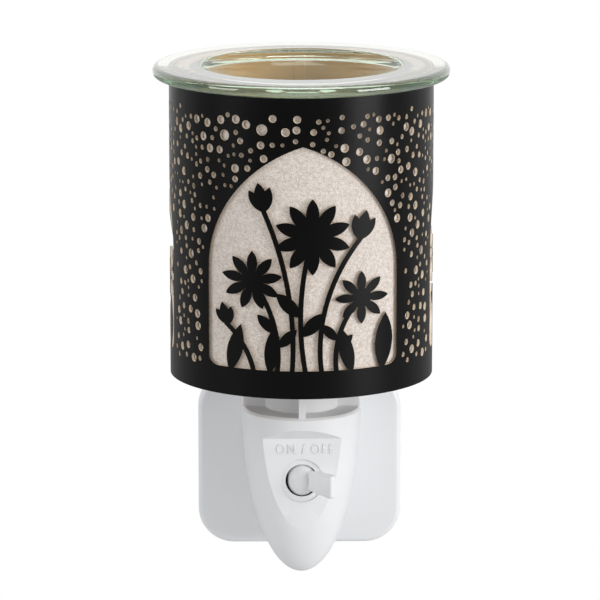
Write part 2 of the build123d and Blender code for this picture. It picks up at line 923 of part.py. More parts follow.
def bud(base, length, lean):
    """A closed flower left standing: three pointed petals from one base."""
    for fan in (-1, 0, 1):
        ray = Vector(0, 1).rotate(Axis.Z, lean + fan * bud_spread)
        leaf(base, base + ray * (length - abs(fan) * bud_step), petal_fatness)


with BuildSketch() as window:
    with BuildLine():
        Line((-window_half_width, window_sill), (window_half_width, window_sill))
        Line((window_half_width, window_sill), (window_half_width, window_spring))
        TangentArc((window_half_width, window_spring), (0, window_apex), tangent=(0, 1))
        TangentArc((-window_half_width, window_spring), (0, window_apex), tangent=(0, 1))
        Line((-window_half_width, window_spring), (-window_half_width, window_sill))
    make_face()
    fillet(window.vertices().group_by(Axis.Y)[0], window_corner_radius)
    for foot, across, up, radius, petals, bend in (
        (0.03, 0.10, 0.60, 11.5, 10, 2.5),
        (-0.28, -0.54, 0.40, 9.0, 9, -3.0),
        (0.36, 0.62, 0.32, 8.0, 8, 3.0),
    ):
        head = spot(across, up)
        stalk = stem(spot(foot, root), head, bend)
        daisy(head, radius, petals)
        for share, side in ((leaf_low, 1), (leaf_high, -1)):
            joint = stalk @ share
            leaf(joint, joint + Vector(side, 1) * (radius * leaf_share), leaf_fatness)
    for foot, across, up, length, lean, bend in (
        (-0.12, -0.46, 0.75, 9.0, 12, -3.5),
        (0.20, 0.66, 0.61, 9.0, -14, 5.0),
        (-0.52, -0.82, 0.20, 7.0, 16, -1.5),
    ):
        stalk = stem(spot(foot, root), spot(across, up), bend)
        bud(stalk @ bud_seat, length, lean)
    for foot, across, up in (
        (-0.78, -0.66, 0.20),
        (-0.36, -0.30, 0.20),
        (0.52, 0.40, 0.19),
        (0.84, 0.88, 0.24),
    ):
        leaf(spot(foot, root), spot(across, up), grass_fatness)

# Dots fill what the arches leave, spread evenly by two irrational steps
dots = []
for i in range(dot_tries):
    angle = (i * dot_step_across % 1 - 0.5) * 360 / window_count
    size = dot_smallest + (dot_largest - dot_smallest) * (i * dot_step_size % 1)
    height = window_sill + size + (i * dot_step_up % 1) * (dot_zone_top - window_sill - 2 * size)
    from_window = shade_radius * sin(radians(180 / window_count - abs(angle)))
    if from_window > arch_half_width(height) + size + dot_margin or height > window_apex + size + dot_margin:
        dots.append((180 / window_count + angle, height, size))

# Shade, the pierced sheet-metal sleeve
with BuildPart() as shade:
    with BuildSketch(Plane.XY.offset(shade_bottom)):
        with Locations((0, -axis_from_wall)):
            Circle(shade_radius)
            Circle(shade_bore, mode=Mode.SUBTRACT)
    extrude(amount=shade_height)
    for i in range(window_count):
        with BuildSketch(facing(360 * i / window_count, shade_bore / 2)):
            add(window.sketch)
    extrude(amount=shade_radius, mode=Mode.SUBTRACT)
    for i in range(window_count):
        for angle, height, size in dots:
            with BuildSketch(facing(angle + 360 * i / window_count, shade_bore - dot_largest)):
                with Locations((0, height)):
                    Circle(size)
    extrude(amount=shade_sheet + 2 * dot_largest, mode=Mode.SUBTRACT)
hand_in(shade.part, "shade")

# Spider: a flanged ring in the shade's foot, with spokes to a hub that stands on the fins
spider_radius = shade_bore - seat_gap
with BuildPart() as shade_spider:
    with BuildSketch(Plane.XY.offset(fin_top)):
        with Locations((0, -axis_from_wall)):
            Circle(spider_radius)
            Circle(spider_radius - spider_web, mode=Mode.SUBTRACT)
            Circle(hub_bore + spider_hub_width)
            with PolarLocations((spider_radius + hub_bore) / 2, spoke_count, 180 / spoke_count):
                Rectangle(spider_radius - hub_bore - spider_web, spoke_width)
            Circle(hub_bore, mode=Mode.SUBTRACT)
    extrude(amount=spider_sheet)
    with BuildSketch(Plane.XY.offset(fin_top)):
        with Locations((0, -axis_from_wall)):
            Circle(spider_radius)
            Circle(spider_radius - spider_sheet, mode=Mode.SUBTRACT)
    extrude(amount=spider_flange)
hand_in(shade_spider.part, "shade_spider")

# Liner, a rolled frosted sheet that stands on the spider's flange
liner_bottom = fin_top + spider_flange
hoop_bottom = shade_top - hoop_height
with BuildPart() as shade_liner:
    with BuildSketch(Plane.XY.offset(liner_bottom)):
        with Locations((0, -axis_from_wall)):
            Circle(lining_radius)
            Circle(lining_radius - liner_sheet, mode=Mode.SUBTRACT)
    extrude(amount=hoop_bottom - liner_bottom)
hand_in(shade_liner.part, "shade_liner")

# Hoop that stiffens the shade's top edge
with BuildPart() as top_hoop:
    with BuildSketch(Plane.XY.offset(hoop_bottom)):
        with Locations((0, -axis_from_wall)):
            Circle(lining_radius)
            Circle(lining_radius - hoop_sheet, mode=Mode.SUBTRACT)
    extrude(amount=hoop_height)
hand_in(top_hoop.part, "top_hoop")

# Glass dish: a wide rim with a round edge, a step that centres it in the hoop, and a bowl
dish_radius = dish_diameter / 2
step_radius = lining_radius - hoop_sheet - running_gap
rim_top = shade_top + rim_thickness
bowl_floor = rim_top - bowl_depth
step_bottom = shade_top - dish_step
with BuildPart() as glass_dish:
    with BuildSketch(lamp_section) as section:
        with BuildLine():
            Polyline(
                (0, bowl_floor),
                (0, bowl_floor - dish_glass),
                (bowl_floor_radius, bowl_floor - dish_glass),
                (bowl_mouth_radius + dish_glass, step_bottom),
                (step_radius, step_bottom),
                (step_radius, shade_top),
                (dish_radius, shade_top),
                (dish_radius, rim_top),
                (bowl_mouth_radius, rim_top),
                (bowl_floor_radius, bowl_floor),
                close=True,
            )
        make_face()
        fillet(section.vertices().group_by(Axis.X)[-1], rim_thickness / 2 - pin_gap)
        for corner, cut in (
            ((bowl_mouth_radius, rim_top), lip_chamfer),
            ((bowl_floor_radius, bowl_floor), bowl_corner_chamfer),
            ((bowl_floor_radius, bowl_floor - dish_glass), bowl_corner_chamfer),
        ):
            chamfer(section.vertices().sort_by_distance(corner)[0], cut)
    revolve(axis=lamp_axis)
hand_in(glass_dish.part, "glass_dish")
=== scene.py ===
# %% [markdown]
# # A plug-in wax melt warmer
# A white wall plug carries a small bulb. A pierced black shade stands over the bulb on four fins, and a
# glass dish for wax lies on the shade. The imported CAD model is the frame: it has every piece at its real
# size. Here the frame gets its finishes and the fine things that solids leave out, such as the
# thread of the bulb's cap, the coil of the filament and the words on the switch panel.

# %% Load the frame
import math
import random

import bmesh
import bpy
from mathutils import Matrix, Vector


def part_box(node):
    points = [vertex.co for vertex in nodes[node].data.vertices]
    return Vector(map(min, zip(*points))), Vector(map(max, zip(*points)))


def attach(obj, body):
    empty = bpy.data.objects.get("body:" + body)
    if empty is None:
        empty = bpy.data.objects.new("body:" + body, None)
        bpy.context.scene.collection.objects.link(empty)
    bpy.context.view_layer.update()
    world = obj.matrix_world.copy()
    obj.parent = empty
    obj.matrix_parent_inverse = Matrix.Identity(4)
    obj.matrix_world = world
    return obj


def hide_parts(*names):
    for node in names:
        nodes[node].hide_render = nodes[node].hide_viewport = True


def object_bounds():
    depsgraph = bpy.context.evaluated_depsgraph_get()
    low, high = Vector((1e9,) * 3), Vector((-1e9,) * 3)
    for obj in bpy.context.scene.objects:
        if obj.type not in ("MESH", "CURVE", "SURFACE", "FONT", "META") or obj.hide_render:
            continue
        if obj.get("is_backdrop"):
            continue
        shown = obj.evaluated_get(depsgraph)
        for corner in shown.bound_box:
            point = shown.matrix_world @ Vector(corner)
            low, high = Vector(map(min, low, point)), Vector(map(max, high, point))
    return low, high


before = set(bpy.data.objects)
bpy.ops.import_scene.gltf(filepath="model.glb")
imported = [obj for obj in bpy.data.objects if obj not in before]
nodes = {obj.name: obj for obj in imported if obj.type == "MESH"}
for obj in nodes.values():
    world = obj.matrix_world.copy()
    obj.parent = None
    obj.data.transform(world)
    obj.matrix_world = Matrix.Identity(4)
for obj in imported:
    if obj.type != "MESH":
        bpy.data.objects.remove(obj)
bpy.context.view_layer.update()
MM = 0.001
AXIS_Y = -47 * MM

# %% [markdown]
# ## Camera
# A long lens far from the object keeps the shade's sides parallel, as in a product photograph. The
# camera looks slightly down, so the dish's rim shows as a flat ellipse.


# %% Camera
def linked(name, data):
    """A new object with this data, in the scene."""
    made = bpy.data.objects.new(name, data)
    bpy.context.scene.collection.objects.link(made)
    return made


AIM = Vector((-0.4 * MM, AXIS_Y, 60 * MM))
AZIMUTH, ELEVATION, DISTANCE = math.radians(-0.8), math.radians(12), 1.337
level = Vector((math.sin(AZIMUTH), -math.cos(AZIMUTH), 0)) * math.cos(ELEVATION)
back = level + Vector((0, 0, math.sin(ELEVATION)))
lens = bpy.data.cameras.new("camera")
lens.lens = 263
lens.sensor_width = 36
camera = linked("camera", lens)
camera.location = AIM + back * DISTANCE
camera.rotation_euler = (-back).to_track_quat("-Z", "Y").to_euler()
bpy.context.scene.camera = camera
bpy.context.scene.view_settings.view_transform = "Standard"
print("camera at", [round(c, 3) for c in camera.location])

# %% [markdown]
# ## A short way to write shaders
# Shader maths reads best as sums. Tone wraps one output of a node, and its operators add Math nodes.
# NodeTree adds any node by its type. Finish is the tree of a material with one Principled shader.


# %% Tone
class Tone:
    """One output of a node, usable in sums."""

    def __init__(self, owner, socket):
        self.owner, self.socket = owner, socket

    def math(self, operation, other, swap=False):
        first, second = (other, self) if swap else (self, other)
        return self.owner.node("ShaderNodeMath", {"operation": operation}, {0: first, 1: second})

    def __add__(self, other):
        return self.math("ADD", other)

    def __sub__(self, other):
        return self.math("SUBTRACT", other)

    def __rsub__(self, other):
        return self.math("SUBTRACT", other, True)

    def __mul__(self, other):
        return self.math("MULTIPLY", other)

    __radd__, __rmul__ = __add__, __mul__

    def between(self, low, high):
        """0 below low, 1 above high, smooth in between."""
        inputs = {"Value": self, "From Min": low, "From Max": high}
        return self.owner.node("ShaderNodeMapRange", {"interpolation_type": "SMOOTHSTEP"}, inputs)


print("sums of node values ready")


# %% NodeTree and Finish
class NodeTree:
    """A tree of nodes. Each input is fed by another node's output or holds a plain value."""

    def __init__(self, tree):
        self.tree = tree

    def node(self, kind, settings=None, inputs=None, output=0):
        made = self.tree.nodes.new(kind)
        for name, value in (settings or {}).items():
            setattr(made, name, value)
        for name, value in (inputs or {}).items():
            self.plug(made.inputs[name], value)
        return Tone(self, made.outputs[output])

    def plug(self, socket, value):
        if isinstance(value, Tone):
            self.tree.links.new(value.socket, socket)
        else:
            socket.default_value = value


class Finish(NodeTree):
    """A material with one Principled shader."""

    def __init__(self, name, **constants):
        self.material = bpy.data.materials.new(name)
        self.material.use_nodes = True
        super().__init__(self.material.node_tree)
        self.shader = self.tree.nodes["Principled BSDF"]
        self.outlet = self.tree.nodes["Material Output"].inputs
        self.feed(**constants)

    def feed(self, **sockets):
        for name, value in sockets.items():
            self.plug(self.shader.inputs[name.replace("_", " ")], value)

    def blend(self, share, other):
        """Shows another shader where share is 1."""
        own = Tone(self, self.shader.outputs[0])
        mixed = self.node("ShaderNodeMixShader", None, {0: share, 1: own, 2: other})
        self.plug(self.outlet["Surface"], mixed)

    def place(self):
        return self.node("ShaderNodeTexCoord", output="Object")

    def noise(self, scale, detail=3.0, rough=0.5, stretch=None):
        where = self.place()
        if stretch:
            where = self.node("ShaderNodeMapping", None, {"Vector": where, "Scale": stretch})
        inputs = {"Vector": where, "Scale": scale, "Detail": detail, "Roughness": rough}
        return self.node("ShaderNodeTexNoise", {"noise_dimensions": "3D"}, inputs)

    def mix(self, share, low, high):
        inputs = {"Factor": share, 6: low, 7: high}
        return self.node("ShaderNodeMix", {"data_type": "RGBA"}, inputs, output=2)

    def bump(self, height, depth, strength, under=None):
        inputs = {"Height": height, "Distance": depth, "Strength": strength}
        if under:
            inputs["Normal"] = under
        return self.node("ShaderNodeBump", None, inputs)

    def radius(self):
        """Distance from the lamp's axis, in metres."""
        across = self.node("ShaderNodeSeparateXYZ", None, {"Vector": self.place()})
        along = Tone(self, across.socket.node.outputs["Y"]) - AXIS_Y
        return (across * across + along * along).math("POWER", 0.5)


print("shader helpers ready")

# %% [markdown]
# ## White moulding
# The plug is moulded in satin white plastic. It has almost no colour of its own, so what makes it look
# real is a faint unevenness of its gloss, a very fine grain, and edges that are a little round.


# %% White moulding
def paint(material, *names):
    """Gives CAD nodes this material alone."""
    for name in names:
        nodes[name].data.materials.clear()
        nodes[name].data.materials.append(material)


white = Finish("satin_white_moulding", IOR=1.46, Specular_IOR_Level=0.5)
cloud = white.noise(scale=60, detail=4)
grain = white.noise(scale=2600, detail=2)
soft_edge = white.node("ShaderNodeBevel", {"samples": 6}, {"Radius": 0.35 * MM})
white.feed(
    Base_Color=white.mix(cloud, (0.80, 0.81, 0.83, 1), (0.84, 0.85, 0.865, 1)),
    Roughness=0.33 + 0.10 * cloud,
    Normal=white.bump(grain, depth=0.01 * MM, strength=0.5, under=soft_edge),
)
paint(white.material, "front_cover", "rear_housing", "back_cover")
paint(white.material, "lampholder_collar", "switch_lever", "earth_pin")
print("white moulding on the plug")

# %% [markdown]
# ## Black lacquer with bright cuts
# The shade's sheet is lacquered satin black outside. Its cut edges show the bare, slightly tan metal.
# One material does both: the distance from the lamp's axis tells the outer skin from the cut.

# %% Black lacquer
SHADE_SKIN = (39.80 * MM, 39.93 * MM)
black = Finish("satin_black_lacquer", IOR=1.45, Specular_IOR_Level=0.2)
fleck = black.noise(scale=1500)
drift = black.noise(scale=35)
skin = black.radius().between(*SHADE_SKIN)
lacquer = black.mix(fleck, (0.0008, 0.0009, 0.0008, 1), (0.0022, 0.0023, 0.0022, 1))
bare = black.mix(fleck, (0.66, 0.55, 0.42, 1), (0.80, 0.69, 0.56, 1))
black.feed(
    Base_Color=black.mix(skin, bare, lacquer),
    Roughness=0.26 + 0.06 * drift + 0.05 * fleck,
    Normal=black.bump(fleck, depth=0.01 * MM, strength=0.3),
)
paint(black.material, "shade")
print("black lacquer")

# %% [markdown]
# ## Frosted liner
# Behind the cut-outs stands a frosted sheet. It is warm white and speckled like fine frost, and its
# inner side is washed with the gold of the inside of the shade.

# %% Frosted liner
LINER_SKIN = (38.5 * MM, 38.7 * MM)
frost = Finish("frosted_warm_sheet", IOR=1.4)
speck = frost.noise(scale=3000, detail=2, rough=0.65)
patch = frost.noise(scale=900)
sparkle = (0.7 * speck + 0.3 * patch).between(0.34, 0.66)
outer = frost.radius().between(*LINER_SKIN)
frosted = frost.mix(sparkle, (0.52, 0.455, 0.40, 1), (0.83, 0.765, 0.71, 1))
gilded = frost.mix(patch, (0.44, 0.26, 0.08, 1), (0.56, 0.36, 0.13, 1))
frost.feed(
    Base_Color=frost.mix(outer, gilded, frosted),
    Metallic=0.85 - 0.85 * outer,
    Roughness=0.48 + 0.20 * outer + 0.12 * speck,
    Normal=frost.bump(speck, depth=0.06 * MM, strength=0.5),
)
paint(frost.material, "shade_liner")
print("frosted liner")

# %% [markdown]
# ## Gold lacquer
# The hoop in the shade's top edge and the spider in its foot are gold-lacquered sheet, sprayed from above:
# what faces down stays as black as the outside, and the hoop's outer side is as pale as the liner, because
# it shows through the top dots. The normal and the distance from the axis tell these apart. Rolled sheet
# has faint lines along its length, so the noise is stretched round the hoop.

# %% Gold lacquer
gold = Finish("gold_lacquer")
rolled = gold.noise(scale=300, detail=4, rough=0.6, stretch=(0.25, 0.25, 4))
tarnish = gold.noise(scale=45)
facing = gold.node("ShaderNodeNewGeometry", output="Normal")
upright = gold.node("ShaderNodeSeparateXYZ", None, {"Vector": facing}, output="Z").between(-0.6, -0.3)
gilt = gold.mix(tarnish, (0.58, 0.33, 0.10, 1), (0.74, 0.45, 0.16, 1))
pale = gold.radius().between(*LINER_SKIN)
painted = gold.mix(pale, gilt, (0.68, 0.61, 0.55, 1))
gold.feed(
    Base_Color=gold.mix(upright, (0.006, 0.006, 0.006, 1), painted),
    Metallic=upright * (1 - pale),
    Roughness=0.66 + 0.16 * rolled,
    Normal=gold.bump(rolled, depth=0.03 * MM, strength=0.4),
)
paint(gold.material, "top_hoop", "shade_spider")
print("gold on hoop and spider")

# %% [markdown]
# ## Glass
# The dish is thick pressed glass, the bulb is thin and clear. Both are Principled glass. Thick glass looks
# green where light runs far through it: the dish's glass absorbs a little red and blue, and its outer edge
# is tinted a little more by the distance from the axis. A polished coat brightens the rim, and a faint
# ripple keeps the reflections from looking like a drawing. Real glass lets lamplight through, so shadow
# rays pass the dish, and the gold inside is lit from above.


# %% Pressed glass
def ray(tree, kind):
    """1 for light rays of one kind, 0 for the others."""
    return tree.node("ShaderNodeLightPath", output=kind)


RIM_START, EDGE_START = (30 * MM, 32 * MM), (43.0 * MM, 44.8 * MM)
dish_finish = Finish("pressed_glass", Transmission_Weight=0.95, IOR=1.5)
ripple = dish_finish.noise(scale=70, detail=2)
on_rim = dish_finish.radius().between(*RIM_START)
on_edge = dish_finish.radius().between(*EDGE_START)
warm = dish_finish.mix(on_rim, (0.985, 0.965, 0.935, 1), (0.95, 0.915, 0.85, 1))
dish_finish.feed(
    Coat_Weight=0.75 * on_rim,
    Base_Color=dish_finish.mix(on_edge, warm, (0.80, 0.98, 0.80, 1)),
    Roughness=0.01 + 0.02 * ripple,
    Normal=dish_finish.bump(ripple, depth=0.2 * MM, strength=0.25),
)
through = dish_finish.node("ShaderNodeBsdfTransparent", None, {"Color": (0.88, 0.91, 0.88, 1)})
dish_finish.blend(ray(dish_finish, "Is Shadow Ray"), through)
tint = {"Color": (0.35, 0.95, 0.45, 1), "Density": 11.0}
dish_finish.plug(dish_finish.outlet["Volume"], dish_finish.node("ShaderNodeVolumeAbsorption", None, tint))
print("pressed glass with a green depth")

# %% Blown glass
bulb_finish = Finish("blown_glass", Transmission_Weight=1.0, IOR=1.35, Base_Color=(0.99, 0.99, 0.985, 1))
bulb_finish.feed(Roughness=0.005 + 0.02 * bulb_finish.noise(scale=90, detail=2))
paint(bulb_finish.material, "bulb_glass", "bulb_stem")
print("blown glass on the bulb")

# %% [markdown]
# ## Small metals, insulators and wires
# Most of these are hidden until the shade is lifted off or the plug is pulled out. Each still
# gets its own finish: drawn lines on pins, dull patches on solder, chalky ceramic.


# %% Kinds of small finish
def metal(name, dark, light, rough, line=(1, 1, 1)):
    made = Finish(name, Metallic=1.0)
    drawn = made.noise(scale=900, rough=0.6, stretch=line)
    worn = made.noise(scale=220)
    made.feed(
        Base_Color=made.mix(worn, dark + (1,), light + (1,)),
        Roughness=rough + 0.18 * drawn,
        Normal=made.bump(drawn, depth=0.01 * MM, strength=0.5),
    )
    return made.material


def moulded(name, dark, light, rough, grain_scale=1800):
    made = Finish(name)
    tone = made.noise(scale=120)
    fine = made.noise(scale=grain_scale, detail=2)
    made.feed(
        Base_Color=made.mix(tone, dark + (1,), light + (1,)),
        Roughness=rough + 0.12 * tone,
        Normal=made.bump(fine, depth=0.02 * MM, strength=0.5),
    )
    return made.material


print("metal and moulded ready")

# %% Small finishes
brass = metal("stamped_brass", (0.55, 0.38, 0.15), (0.74, 0.55, 0.26), 0.22)
pin_brass = metal("drawn_pin_brass", (0.58, 0.41, 0.17), (0.76, 0.58, 0.29), 0.18, (1, 0.08, 1))
cap_metal = metal("drawn_cap_metal", (0.55, 0.53, 0.47), (0.72, 0.70, 0.64), 0.22)
steel = metal("zinc_plated_steel", (0.42, 0.42, 0.43), (0.62, 0.62, 0.63), 0.25)
solder = metal("dull_solder", (0.36, 0.36, 0.36), (0.55, 0.55, 0.55), 0.35)
tungsten = metal("tungsten_wire", (0.10, 0.10, 0.11), (0.19, 0.19, 0.20), 0.35)
sleeve = moulded("black_pin_sleeve", (0.010, 0.010, 0.010), (0.020, 0.020, 0.020), 0.36)
ceramic = moulded("heatproof_insulator", (0.62, 0.59, 0.52), (0.74, 0.71, 0.64), 0.55, 900)
cream = moulded("cream_switch_frame", (0.58, 0.56, 0.49), (0.68, 0.66, 0.59), 0.42)
vitrite = moulded("black_vitrite", (0.006, 0.006, 0.007), (0.014, 0.014, 0.016), 0.12)
brown = moulded("brown_insulation", (0.075, 0.030, 0.012), (0.11, 0.05, 0.022), 0.38)
blue = moulded("blue_insulation", (0.012, 0.08, 0.30), (0.022, 0.12, 0.38), 0.38)
paint(pin_brass, "live_pin", "neutral_pin")
paint(sleeve, "live_pin_sleeve", "neutral_pin_sleeve")
paint(brass, "moving_contact", "live_contact", "lamp_contact", "centre_contact", "screw_shell")
paint(steel, "bulb_wires", "cover_screws")
paint(solder, "bulb_contact")
paint(vitrite, "bulb_insulator")
paint(ceramic, "lampholder_core")
paint(cream, "switch_frame")
paint(brown, "live_wire", "lamp_wire")
paint(blue, "neutral_wire")
print("finishes in all:", len(bpy.data.materials))

# %% [markdown]
# ## Smooth shading for the CAD pieces
# CAD pieces come in as loose flat triangles. A small Geometry Nodes tree welds them and shades them
# smooth up to a sharp angle, so a cylinder looks round and an edge stays an edge. It is a live
# modifier, so the CAD mesh itself stays as it is.


# %% Trees of Geometry Nodes
class GeometryTree(NodeTree):
    """Geometry Nodes with named inputs, each stated as (kind, value)."""

    def __init__(self, name, **inputs):
        super().__init__(bpy.data.node_groups.new(name, "GeometryNodeTree"))
        self.face = self.tree.interface
        self.face.new_socket("Geometry", in_out="INPUT", socket_type="NodeSocketGeometry")
        for label, (kind, value) in inputs.items():
            made = self.face.new_socket(label.replace("_", " "), in_out="INPUT", socket_type=kind)
            made.default_value = value
        self.face.new_socket("Geometry", in_out="OUTPUT", socket_type="NodeSocketGeometry")
        self.start = self.tree.nodes.new("NodeGroupInput")
        self.end = self.tree.nodes.new("NodeGroupOutput")

    def given(self, label="Geometry"):
        """One of the tree's own inputs."""
        return Tone(self, self.start.outputs[label])

    def give(self, geometry):
        """Ends the tree with this geometry."""
        self.plug(self.end.inputs["Geometry"], geometry)

    def put_on(self, made, **values):
        """Adds the tree to an object, with values set by the identifiers of their sockets."""
        modifier = made.modifiers.new(self.tree.name, "NODES")
        modifier.node_group = self.tree
        for item in self.face.items_tree:
            if item.in_out == "INPUT" and item.name in values:
                modifier[item.identifier] = values[item.name]


print("tree helper ready")

# %% Weld and smooth
WELD, SHARP = 0.001 * MM, math.radians(26)
weld = GeometryTree(
    "weld_and_smooth",
    Weld_distance=("NodeSocketFloat", WELD),
    Sharp_angle=("NodeSocketFloat", SHARP),
)
loose = {"Geometry": weld.given(), "Distance": weld.given("Weld distance")}
merged = weld.node("GeometryNodeMergeByDistance", None, loose)
round_all = weld.node("GeometryNodeSetShadeSmooth", None, {"Geometry": merged})
angle = weld.node("GeometryNodeInputMeshEdgeAngle", output="Unsigned Angle")
limits = {0: angle, 1: weld.given("Sharp angle")}
shallow = weld.node("FunctionNodeCompare", {"operation": "LESS_THAN"}, limits)
edges = {"Geometry": round_all, "Shade Smooth": shallow}
weld.give(weld.node("GeometryNodeSetShadeSmooth", {"domain": "EDGE"}, edges))
for node in nodes.values():
    weld.put_on(node)
print("weld and smooth on", len(nodes), "nodes")

# %% [markdown]
# ## Small dots round the windows
# The sheet is laser-pierced with a spray of dots between its windows. The CAD shade has the larger
# ones. The small ones are strewn at random, each kept clear of the windows and of the others, as a
# designer fills a corner. Geometry Nodes put a punch at each point and cut the sheet with them. The punch
# is a slim cone, so each cut opens outwards, catches the light and looks as bright as a cut in thin sheet.

# %% Room between the windows
BAYS, SHADE_LOW, SHADE_R = 3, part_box("shade")[0].z, 40 * MM
HALF_BAY = 180 / BAYS
HALF, SILL, SPRING, APEX = 28 * MM, 8.5 * MM, 38 * MM, 76 * MM
ARCH_R = (HALF**2 + (APEX - SPRING) ** 2) / (2 * HALF)
MARGIN = 1.3 * MM


def clear_of_window(angle, height, size):
    """Whether a dot stays outside the pointed arch of its bay."""
    above = max(0, height - SPRING)
    reach = math.sqrt(max(0, ARCH_R**2 - above**2)) - ARCH_R + HALF
    across = SHADE_R * math.sin(math.radians(HALF_BAY - abs(angle)))
    return across > reach + size + MARGIN or height > APEX + size + MARGIN


print("arch radius:", round(ARCH_R / MM, 1), "mm")

# %% Places of the dots
LARGE_DOTS, LARGE_LEAST, LARGE_TOP = 44, 0.7, 85 * MM
SIZE_STEP, ANGLE_STEP, HEIGHT_STEP = 0.61803, 0.75488, 0.56984
SMALL_SIZES, SMALL_TOP, GAP = (0.6, 0.8, 1.0, 1.2, 1.35), 85.5 * MM, 0.7 * MM
TRIES, WIDEST_ANGLE, SEED = 3000, 58, 5


def large_dots():
    """The dots that the CAD shade already has, as (angle, height, radius)."""
    for i in range(LARGE_DOTS):
        size = (LARGE_LEAST + i * SIZE_STEP % 1) * MM
        angle = (i * ANGLE_STEP % 1 - 0.5) * 2 * HALF_BAY
        yield angle, SILL + size + (i * HEIGHT_STEP % 1) * (LARGE_TOP - SILL - 2 * size), size


strewn = list(large_dots())
chance = random.Random(SEED)
small = []
for _ in range(TRIES):
    size = chance.choice(SMALL_SIZES) * MM
    angle, height = chance.uniform(-HALF_BAY, HALF_BAY), chance.uniform(SILL, SMALL_TOP - size)
    apart = [math.hypot(math.radians(angle - a) * SHADE_R, height - h) - size - s for a, h, s in strewn]
    if clear_of_window(angle, height, size) and min(apart) > GAP and abs(angle) < WIDEST_ANGLE:
        strewn.append((angle, height, size))
        small.append((angle, height, size))
places, sizes = [], []
for bay in range(BAYS):
    for angle, height, size in small:
        turn = math.radians(HALF_BAY + angle + 2 * HALF_BAY * bay)
        places.append((SHADE_R * math.sin(turn), AXIS_Y - SHADE_R * math.cos(turn), SHADE_LOW + height))
        sizes.append(size)
spray = bpy.data.meshes.new("dot_places")
spray.from_pydata(places, [], [])
spray.attributes.new("size", "FLOAT", "POINT").data.foreach_set("value", sizes)
dot_places = linked("dot_places", spray)
print("small dots:", len(places))

# %% Tree that pierces
PUNCH = 4 * MM
pierce = GeometryTree(
    "pierce_dots",
    Places=("NodeSocketObject", None),
    Sides=("NodeSocketInt", 20),
    Flare=("NodeSocketFloat", 0.6),
    Finish=("NodeSocketMaterial", None),
)
flare, sides = pierce.given("Flare"), pierce.given("Sides")
cone = {"Vertices": sides, "Radius Top": 1 + flare, "Radius Bottom": 1 - flare, "Depth": PUNCH}
punch = pierce.node("GeometryNodeMeshCone", None, cone, output="Mesh")
middle = {"Geometry": punch, "Translation": (0, 0, -PUNCH / 2)}
punch = pierce.node("GeometryNodeTransform", None, middle)
from_axis = {0: pierce.node("GeometryNodeInputPosition"), 1: (1, 1, 0), 2: (0, -AXIS_Y, 0)}
outward = pierce.node("ShaderNodeVectorMath", {"operation": "MULTIPLY_ADD"}, from_axis)
aim = pierce.node("FunctionNodeAlignRotationToVector", {"axis": "Z"}, {"Vector": outward})
wide = pierce.node("GeometryNodeInputNamedAttribute", {"data_type": "FLOAT"}, {"Name": "size"}, "Attribute")
girth = pierce.node("ShaderNodeCombineXYZ", None, {"X": wide, "Y": wide, "Z": 1})
points = pierce.node("GeometryNodeObjectInfo", None, {"Object": pierce.given("Places")}, "Geometry")
spread = {"Points": points, "Instance": punch, "Rotation": aim, "Scale": girth}
punches = pierce.node("GeometryNodeInstanceOnPoints", None, spread)
solid = pierce.node("GeometryNodeRealizeInstances", None, {"Geometry": punches})
welded = pierce.node("GeometryNodeMergeByDistance", None, {"Geometry": pierce.given(), "Distance": WELD})
how = {"operation": "DIFFERENCE", "solver": "MANIFOLD"}
cut = pierce.node("GeometryNodeMeshBoolean", how, {"Mesh 1": welded, "Mesh 2": solid}, "Mesh")
coat = {"Geometry": cut, "Material": pierce.given("Finish")}
pierce.give(pierce.node("GeometryNodeSetMaterial", None, coat))
print("piercing tree nodes:", len(pierce.tree.nodes))


# %% Pierce the sheet
def as_mesh(made):
    """The finished mesh of an object, which is then removed."""
    shown = bpy.context.evaluated_depsgraph_get()
    mesh = bpy.data.meshes.new_from_object(made.evaluated_get(shown))
    bpy.data.objects.remove(made)
    return mesh


sheet = linked("sheet", nodes["shade"].data.copy())
pierce.put_on(sheet, Places=dot_places, Finish=black.material)
weld.put_on(sheet)
pierced = linked("pierced_sheet", as_mesh(sheet))
bpy.data.objects.remove(dot_places)
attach(pierced, "shade")
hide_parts("shade")
print("pierced sheet faces:", len(pierced.data.polygons), "from", len(nodes["shade"].data.polygons))

# %% [markdown]
# ## Turned pieces
# The dish is turned about the lamp's axis, as its mould is. A profile of corner points with a radius
# at each corner is enough to describe it. The CAD dish has the same corners; this one has finer facets,
# because light bends through glass and shows every facet.


# %% Rounded profile
def rounded(corners, steps=10):
    """Points of a closed profile of (radius, height, corner radius) with its corners rounded."""
    line = []
    for i, (x, z, r) in enumerate(corners):
        here = Vector((x, z))
        before = Vector(corners[i - 1][:2])
        after = Vector(corners[(i + 1) % len(corners)][:2])
        if r == 0:
            line.append(here)
            continue
        a, b = (before - here).normalized(), (after - here).normalized()
        half = a.angle(b) / 2
        reach = r / math.tan(half)
        middle = here + (a + b).normalized() * (r / math.sin(half))
        first, last = here + a * reach - middle, here + b * reach - middle
        sweep = first.angle_signed(last)
        for k in range(steps + 1):
            turned = first.copy()
            turned.rotate(Matrix.Rotation(-sweep * k / steps, 2))
            line.append(middle + turned)
    return line


print("profiles ready")


# %% Lathe
def mesh_of(shape, name, material=None, smooth=False):
    """The mesh of a shape from bmesh, which is then freed."""
    data = bpy.data.meshes.new(name)
    shape.to_mesh(data)
    shape.free()
    if material:
        data.materials.append(material)
    if smooth:
        data.polygons.foreach_set("use_smooth", [True] * len(data.polygons))
    return data


